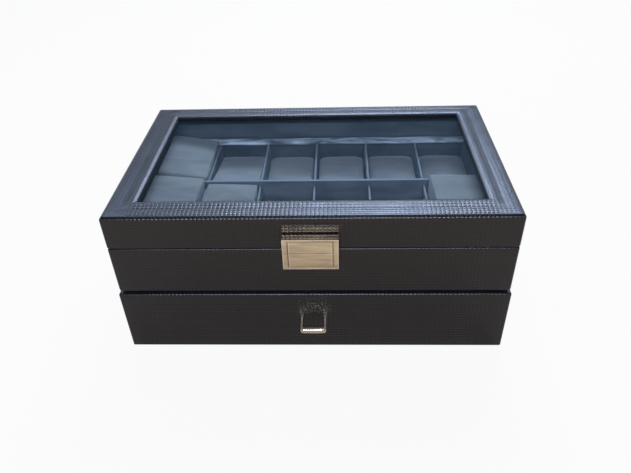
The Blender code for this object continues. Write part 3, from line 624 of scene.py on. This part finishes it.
def ledge_strip(finish):
    """The lining's loose top hem along the tray's rear wall: a strip with a half-round nose, carried from
    left to right, whose edge and height wander as sums and products of sines."""
    low, high = corners("rear_ledge_strip")
    x = np.linspace(low[0], high[0], 150)
    wander = 0.5 * np.sin(x / (21 * MM) + 0.6) + 0.3 * np.sin(x / (8.3 * MM))
    wander = wander + 0.2 * np.sin(x / (4.1 * MM) + 2.0)
    lift = 0.5 + 0.5 * np.sin(x / (37 * MM) - 0.4) * np.cos(x / (13 * MM))
    front = low[1] + 0.9 * MM + 0.8 * MM * wander
    top = high[2] - 1.1 * MM * lift
    nose = 1.6 * MM
    middle, half = (top + low[2]) / 2, (top - low[2]) / 2
    section = [(high[1] + 0 * x, low[2] + 0 * x)]
    for angle in np.radians(np.linspace(-90, 90, 9)):
        section.append((front + nose * (1 - math.cos(angle)), middle + half * math.sin(angle)))
    section += [(high[1] + 0 * x, top), section[0]]
    grid = np.array([np.stack([x, y, z], -1) for y, z in section])
    patches = [(grid, grid[..., :2])] + [fan(grid[:, end]) for end in (0, -1)]
    return settle(skin("rear_lining_hem", patches, 60), ["rear_ledge_strip"], finish)


def latch_face(finish):
    """The pressed face of the latch, as a height over the flap's front: a border whose edges fall as a
    square, a groove round the panel that is deeper at the two sides, a slightly full panel, which is the
    product of two parabolas, and a thin level line across it. Groove and line are bell curves."""
    low, high = corners("latch_flap")
    # a hair larger than the flap all round, so that it covers the flap's own edge
    larger, thick, back = 0.02 * MM, 0.2 * MM, 0.9 * MM
    border_side, border_end = 4.3 * MM, 2.1 * MM
    x = np.linspace(low[0] - larger, high[0] + larger, 136)
    z = np.linspace(low[2] - larger, high[2] + larger, 96)
    x, z = np.meshgrid(x, z, indexing="ij")
    half, rise = (high[0] - low[0]) / 2, (high[2] - low[2]) / 2
    across, up = np.abs(x), z - (low[2] + high[2]) / 2
    rim = np.minimum(half - across, rise - np.abs(up))
    side = across - (half - border_side)
    end = np.abs(up) - (rise - border_end)
    at_side, inside = side > end, np.maximum(side, end)
    panel = inside < 0

    height = thick - 0.16 * MM * np.clip(1 - rim / (0.5 * MM), 0, 1) ** 2
    height = height - np.where(at_side, 0.55, 0.3) * MM * np.exp(-((inside / (0.55 * MM)) ** 2))
    # pressing leaves the panel a little full, in long level waves
    full = np.clip(1 - (across / (half - border_side)) ** 2, 0, 1)
    full = full * np.clip(1 - (up / (rise - border_end)) ** 2, 0, 1)
    waves = np.sin(z / (1.5 * MM) + 1.4 * np.sin(x / (11 * MM) + 0.5))
    waves = waves * np.sin(z / (3.4 * MM) + x / (19 * MM))
    height = height + np.where(panel, (0.16 * full + 0.05 * waves * np.sqrt(full)) * MM, 0)
    line_up = 0.1 * rise
    line = np.exp(-(((up - line_up) / (0.22 * MM)) ** 2))
    height = height - np.where(panel, 0.16 * MM * line * np.clip(-inside / (0.8 * MM), 0, 1), 0)

    front = np.stack([x, low[1] - height, z], -1)
    rear = np.stack([x, np.full_like(x, low[1] + back), z], -1)
    edges = [np.stack([front[k], rear[k]]) for k in (0, -1)]
    edges += [np.stack([front[:, k], rear[:, k]]) for k in (0, -1)]
    patches = [(grid, grid[..., [0, 2]]) for grid in [front, rear] + edges]

    # painted light on the latch: a painted highlight on the rims, strongest below, and just inside the side
    # grooves; painted shade in the grooves and along the line; and a painted glint below the line, growing to
    # the right
    painted_light_and_polish = np.clip(1.3 - rim / (0.7 * MM), 0, 1) * np.where(up < 0, 1.0, 0.75)
    painted_light_and_polish = np.maximum(painted_light_and_polish, 0.8 * np.exp(-(((-inside - 1.0 * MM) / (0.3 * MM)) ** 2)) * at_side)
    painted_light_and_polish = painted_light_and_polish - np.where(at_side, 1.1, 0.3) * np.exp(-((inside / (0.4 * MM)) ** 2))
    glint = np.exp(-(((up - line_up + 0.7 * MM) / (0.3 * MM)) ** 2)) * np.clip(x / half, 0, 1)
    painted_light_and_polish = painted_light_and_polish + panel * (0.8 * glint - 0.6 * line)
    wear_and_painted_light = np.concatenate([painted_light_and_polish.ravel(), np.zeros(sum(grid[..., 0].size for grid in [rear] + edges))])
    settle_trim(skin("latch_pressed_face", patches, 60, wear_and_painted_light), "latch_flap", finish)


def hinge_screws(finish):
    """Two countersunk screws in each hinge leaf. A head is turned about its axis, with a height that falls
    with the square of the distance from it, less a cross that is deepest along its two middle lines."""
    radius, dome, skirt_deep = 2.1 * MM, 0.35 * MM, 0.6 * MM
    cross_deep, cross_half, cross_reach = 0.45 * MM, 0.42 * MM, 0.72
    leaf_thick, from_end, from_middle = 1.2 * MM, 5.2 * MM, 9.5 * MM
    reach = np.linspace(0, 1, 9)[:, None]
    turn = np.radians(np.linspace(0, 360, 41))[None, :]
    x, z = radius * reach * np.cos(turn), radius * reach * np.sin(turn)
    slot = np.minimum(np.abs(x), np.abs(z))
    cross = cross_deep * np.clip(1 - slot / cross_half, 0, 1) ** 0.5 * (reach < cross_reach)
    rise = dome * (1 - reach**2) - cross
    for side in ("left", "right"):
        for leaf in ("case_leaf", "lid_leaf"):
            node = f"{side}_hinge_{leaf}"
            low, high = corners(node)
            middle = (low[0] + high[0]) / 2
            face = low[1] + leaf_thick
            height = low[2] + from_end if leaf == "case_leaf" else high[2] - from_end
            for number, offset in enumerate((-from_middle, from_middle)):
                top = np.stack([middle + offset + x, face + rise, height + z], -1)
                skirt = top[-1].copy()
                skirt[:, 1] = face - skirt_deep
                close = np.stack([top[-1], skirt, np.broadcast_to(skirt.mean(0), skirt.shape)])
                patches = [(top, top[..., :2]), (close, close[..., :2])]
                settle_trim(skin(f"{side}_{leaf}_screw_{number + 1}", patches, 50), node, finish)


# Pillows


def blow_up(made, rest):
    """Swells a closed mesh as cloth under a little pressure, for 20 frames, and by no more than 3 mm."""
    last_frame, most = 20, 3 * MM
    before = points_of(rest)
    cloth = made.modifiers.new("cover", "CLOTH")
    cloth.settings.use_pressure = True
    cloth.settings.uniform_pressure_force = 4.0
    cloth.settings.quality = 6
    cloth.settings.effector_weights.gravity = 0.0
    cloth.settings.tension_stiffness = 40
    cloth.settings.bending_stiffness = 6
    cloth.point_cache.frame_start = 1
    cloth.point_cache.frame_end = last_frame
    for step in range(1, last_frame + 1):
        bpy.context.scene.frame_set(step)
    moved = points_of(evaluated(made)) - before
    bpy.context.scene.frame_set(1)
    made.modifiers.clear()
    far = np.linalg.norm(moved, axis=-1, keepdims=True)
    rest.vertices.foreach_set("co", (before + moved * np.minimum(1, most / np.maximum(far, 1e-9))).ravel())


def plump(name, half, seed, crisp):
    """A watch pillow's shape about the origin: a foam block in a sewn suede cover, swollen as cloth under a
    little pressure. The swollen form is then drawn to a superellipsoid of power crisp, which keeps the wrap's
    edges, and pulled in along the seams of its two end panels, with puckers that fade away from them. Its
    upper side is domed towards the two ends that a strap goes round, and its lower side is flat."""
    foam = half * 0.955
    start = skin(f"{name}_block", board_patches(-foam, foam, 3 * MM, spans=(8, 12, 4)))
    remesh = start.modifiers.new("voxels", "REMESH")
    remesh.mode = "VOXEL"
    remesh.voxel_size = 4 * MM
    rest = evaluated(start)
    bpy.data.objects.remove(start)
    made = add_object(name, rest)
    blow_up(made, rest)
    fine = made.modifiers.new("fine", "SUBSURF")
    fine.levels = fine.render_levels = 2
    mesh = evaluated(made)
    bpy.data.objects.remove(made)

    co = points_of(mesh)
    co = co / np.abs(co).max(0)
    u, v, w = np.abs(co).T
    co = co * (0.03 + 0.97 / (u**crisp + v**crisp + w**crisp) ** (1 / crisp))[:, None]
    co = co / np.abs(co).max(0)
    u, v, w = co.T
    shape = co * half
    # seams run round the block near its left and right ends
    seam_at = 0.84
    near = np.abs(np.abs(u) - seam_at) * half[0]
    groove = np.exp(-((near / (0.8 * MM)) ** 2))
    fade = np.exp(-((near / (4.5 * MM)) ** 2))
    round_way = np.arctan2(w * half[2], v * half[1])
    pucker = np.sin(round_way * 34 + seed) * np.sin(round_way * 13 + 2 * seed) * fade
    from_axis = np.maximum(np.linalg.norm(shape[:, 1:], axis=-1), MM)
    inward = 1 - (groove * 0.45 * MM + pucker * 0.16 * MM) / from_axis
    shape[:, 1:] *= inward[:, None]
    # the sides pull in between the corners
    shape[:, 0] *= 1 - 0.02 * (1 - v**2)
    shape[:, 2] *= np.where(w > 0, 1 - 0.36 * v**4 - 0.10 * u**4, 1 - 0.01 * (u**2 + v**2))
    # straps leave broad shallow dents
    dent = np.sin(u * 2.1 + seed) * np.cos(v * 2.6 - seed)
    shape[:, 2] -= 0.35 * MM * dent * np.sign(w) * (1 - u**4) * (1 - v**4)
    shape = shape / np.abs(shape).max(0)
    faces = np.zeros(len(mesh.loops), int)
    mesh.loops.foreach_get("vertex_index", faces)
    bpy.data.meshes.remove(mesh)
    return shape, faces.reshape(-1, 4)


def pillow_frame(node):
    """A pillow node's middle, its three directions and its half sizes, from the spread of its points."""
    co = np.unique(points_of(frame["nodes"][node].data).round(7), axis=0)
    middle = (co.max(0) + co.min(0)) / 2
    ways = np.linalg.eigh(np.cov((co - middle).T))[1]
    order = [int(np.argmax(np.abs(ways[k]))) for k in range(3)]
    ways = np.stack([ways[:, order[k]] * np.sign(ways[k, order[k]]) for k in range(3)])
    spread = (co - middle) @ ways.T
    middle = middle + (spread.max(0) + spread.min(0)) / 2 @ ways
    return middle, ways, (spread.max(0) - spread.min(0)) / 2


def watch_pillows(finish):
    """All twelve pillows, in four patterns: two that are worn round, and two crisp ones for the pillows that
    stand proud, which were put back with their flat side up."""
    nodes = sorted(node for node in frame["nodes"] if "_watch_pillow_" in node)
    half = pillow_frame(nodes[2])[2]
    shapes = []
    for number, crisp in enumerate((11, 11, 40, 40)):
        shapes.append(plump(f"pillow_pattern_{number}", half, 1.7 * number + 0.4, crisp))
    level = np.median([pillow_frame(node)[0][2] for node in nodes])
    for number, node in enumerate(nodes):
        middle, ways, size = pillow_frame(node)
        flipped = middle[2] > level + 1 * MM
        shape, faces = shapes[number % 2 + 2 * flipped]
        turned = shape * ((-1, -1, 1) if number % 2 else (1, 1, 1)) * ((-1, 1, -1) if flipped else (1, 1, 1))
        mesh = bpy.data.meshes.new(f"{node}_suede")
        mesh.from_pydata((middle + (turned * size) @ ways).tolist(), [], faces.tolist())
        mesh.shade_smooth()
        made = add_object(f"{node}_suede", mesh)
        settle(made, [node], finish)


# Studio


def standing(right, up, back, place):
    """The matrix that turns an object's own axes to three directions and puts it in its place."""
    return Matrix([[right[k], up[k], back[k], place[k]] for k in range(3)] + [[0, 0, 0, 1]])


def camera():
    """The photograph's own view, found from the case's edges: lens, place, heading, tilt and roll."""
    sensor, focal, picture_width = 36.0, 589.9, 631
    heading, tilt, roll = (math.radians(a) for a in (2.876, 36.697, -2.057))
    place = np.array([23.04, -477.78, 407.04]) * MM
    back = np.array([math.sin(heading) * math.cos(tilt), -math.cos(heading) * math.cos(tilt), math.sin(tilt)])
    right = np.array([math.cos(heading), math.sin(heading), 0.0])
    up = np.cross(back, right)
    turned_right = right * math.cos(roll) + up * math.sin(roll)
    turned_up = up * math.cos(roll) - right * math.sin(roll)
    data = bpy.data.cameras.new("camera")
    data.sensor_width = sensor
    data.lens = focal / picture_width * sensor
    data.clip_start = 0.01
    made = add_object("camera", data)
    made.matrix_world = standing(turned_right, turned_up, back, place)
    bpy.context.scene.camera = made


def lamp(name, place, aim, size, radiance, colour):
    """A soft rectangular lamp with level edges. Its radiance is what a mirror would show of it."""
    data = bpy.data.lights.new(name, "AREA")
    data.shape = "RECTANGLE"
    data.size, data.size_y = size
    data.energy = radiance * math.pi * size[0] * size[1]
    data.color = linear(colour)[:3]
    back = np.array(place, float) - np.array(aim, float)
    back /= np.linalg.norm(back)
    right = np.cross((0, 0, 1.0), back)
    right /= np.linalg.norm(right)
    add_object(name, data).matrix_world = standing(right, np.cross(back, right), back, place)


def studio():
    """White floor and background, a dim ceiling for the glass to mirror, and three cool lamps: a window and a
    long panel high behind the case, and a window behind the camera."""
    bpy.context.scene.view_settings.view_transform = "Standard"
    world = bpy.data.worlds.new("studio")
    bpy.context.scene.world = world
    world.use_nodes = True
    world.node_tree.nodes.clear()
    add = partial(add_node, world.node_tree)
    height = add("ShaderNodeSeparateXYZ", {0: add("ShaderNodeTexCoord").outputs["Generated"]}).outputs["Z"]
    # metal and glass see the same white round the horizon, under the ceiling
    ceiling = add("ShaderNodeMapRange", {0: height, 1: 0.14, 2: 0.34})
    room = add("ShaderNodeMix", {0: ceiling, 6: linear("#f6f6f6"), 7: linear("#48607e")}, data_type="RGBA")
    ray = add("ShaderNodeLightPath").outputs["Is Camera Ray"]
    white = linear("#ffffff")
    seen = add("ShaderNodeMix", {0: ray, 6: room.outputs[2], 7: white}, data_type="RGBA").outputs[2]
    light = add("ShaderNodeBackground", {"Color": seen, "Strength": 1.0})
    add("ShaderNodeOutputWorld", {"Surface": light})

    floor_finish, add = new_finish("white_studio_floor")
    matt = add("ShaderNodeBsdfDiffuse", {"Color": linear("#cbb69e")})
    glow = add("ShaderNodeEmission", {"Color": white, "Strength": 1.0})
    ray = add("ShaderNodeLightPath").outputs
    # the eye sees the floor white, with a little of its matt side, which keeps the case's shadow
    mirrored, seen_white = 0.08, 0.92
    share = add("ShaderNodeMath", {0: ray["Is Glossy Ray"], 1: mirrored}, operation="MULTIPLY")
    for kind in ("Is Camera Ray", "Is Transmission Ray"):
        share = add("ShaderNodeMath", {0: ray[kind], 1: seen_white, 2: share}, operation="MULTIPLY_ADD")
    floor_look = add("ShaderNodeMixShader", {0: share, 1: matt, 2: glow})
    add("ShaderNodeOutputMaterial", {"Surface": floor_look})
    mesh = bpy.data.meshes.new("studio_floor")
    reach, low = 4.0, -0.1 * MM
    places = [(x * reach, y * reach, low) for x, y in ((-1, -1), (1, -1), (1, 1), (-1, 1))]
    mesh.from_pydata(places, [], [(0, 1, 2, 3)])
    mesh.materials.append(floor_finish)
    add_object("studio_floor", mesh)

    lamp("rear_window", (0.16, 1.05, 1.29), (0, 0, 0.14), (0.72, 0.58), 23.0, "#bad3ff")
    lamp("rear_panel", (-0.10, 1.18, 1.27), (0, 0, 0.14), (2.60, 0.34), 7.5, "#bad3ff")
    lamp("front_window", (0.0, -1.30, 1.06), (0, 0, 0.13), (0.80, 0.32), 45.0, "#c6d5ff")


# The whole case


def main():
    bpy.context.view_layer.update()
    camera()
    leatherette = pressed_leatherette()
    lining = brushed_suede("slate_suede_lining", "#2c2d2f", "#454748", 16 * MM, 0.1)
    # painted shade: the lid lining turns near black above this height
    painted_shade_height = LID_TOP - 15 * MM
    lid_lining = brushed_suede("slate_suede_lid_lining", "#2c2d2f", "#454748", 16 * MM, 0.1, painted_shade_height=painted_shade_height)
    hem = brushed_suede("slate_suede_hem", "#454749", "#c4c4c4", 9 * MM, 0.4)
    flock = brushed_suede("black_flocked_retainer", "#090a0b", "#121315", 6 * MM, 0.05)
    # the last colour of the divider and the partition is a painted highlight on their upward faces
    divider = brushed_suede("suede_covered_divider", "#424446", "#5a5c5e", 14 * MM, 0.2, "#7c7e80")
    partition = brushed_suede("suede_covered_partition", "#2b2d2f", "#3f4143", 14 * MM, 0.1, "#7c7e80")
    cover = brushed_suede("grey_suede_cover", "#6d6863", "#837c74", 18 * MM, 0.2)
    plating = plated_metal()
    board = papered_board()

    lid_skin(leatherette)
    # painted shade: a black strip round the window's edge
    painted_shade_strip(flock)
    case_skin(leatherette)
    drawer_skin(leatherette)
    pull_bar(plating)
    ledge_strip(hem)
    watch_pillows(cover)
    latch_face(plating)
    hinge_screws(plating)
    for node in frame["nodes"]:
        if node in ("latch_flap", "latch_mount", "catch_plate"):
            eased(node, 0.25 * MM, plating)
        elif node == "latch_pin":
            eased(node, 0.2 * MM, plating)
        elif "_hinge_" in node:
            eased(node, 0.15 * MM, plating)
        elif node in ("tray_wall_lining", "tray_floor_pad", "drawer_lining"):
            eased(node, 0.5 * MM, lining, segments=3)
        elif node in ("cross_divider", "drawer_long_divider"):
            eased(node, 0.6 * MM, divider, segments=3)
        elif node.startswith(("column_divider", "drawer_short_divider")):
            eased(node, 0.6 * MM, partition, segments=3)
        elif SLOT_OF[node] == "board":
            eased(node, 0.4 * MM, board)
    eased("lid_wall_lining", 0.5 * MM, lid_lining, segments=3)
    eased("glass_retainer", 0.3 * MM, flock)
    eased("glass_pane", 0.3 * MM, float_glass())
    eased("base_felt", 0.2 * MM, needled_felt())
    studio()
    bpy.context.view_layer.update()


main()
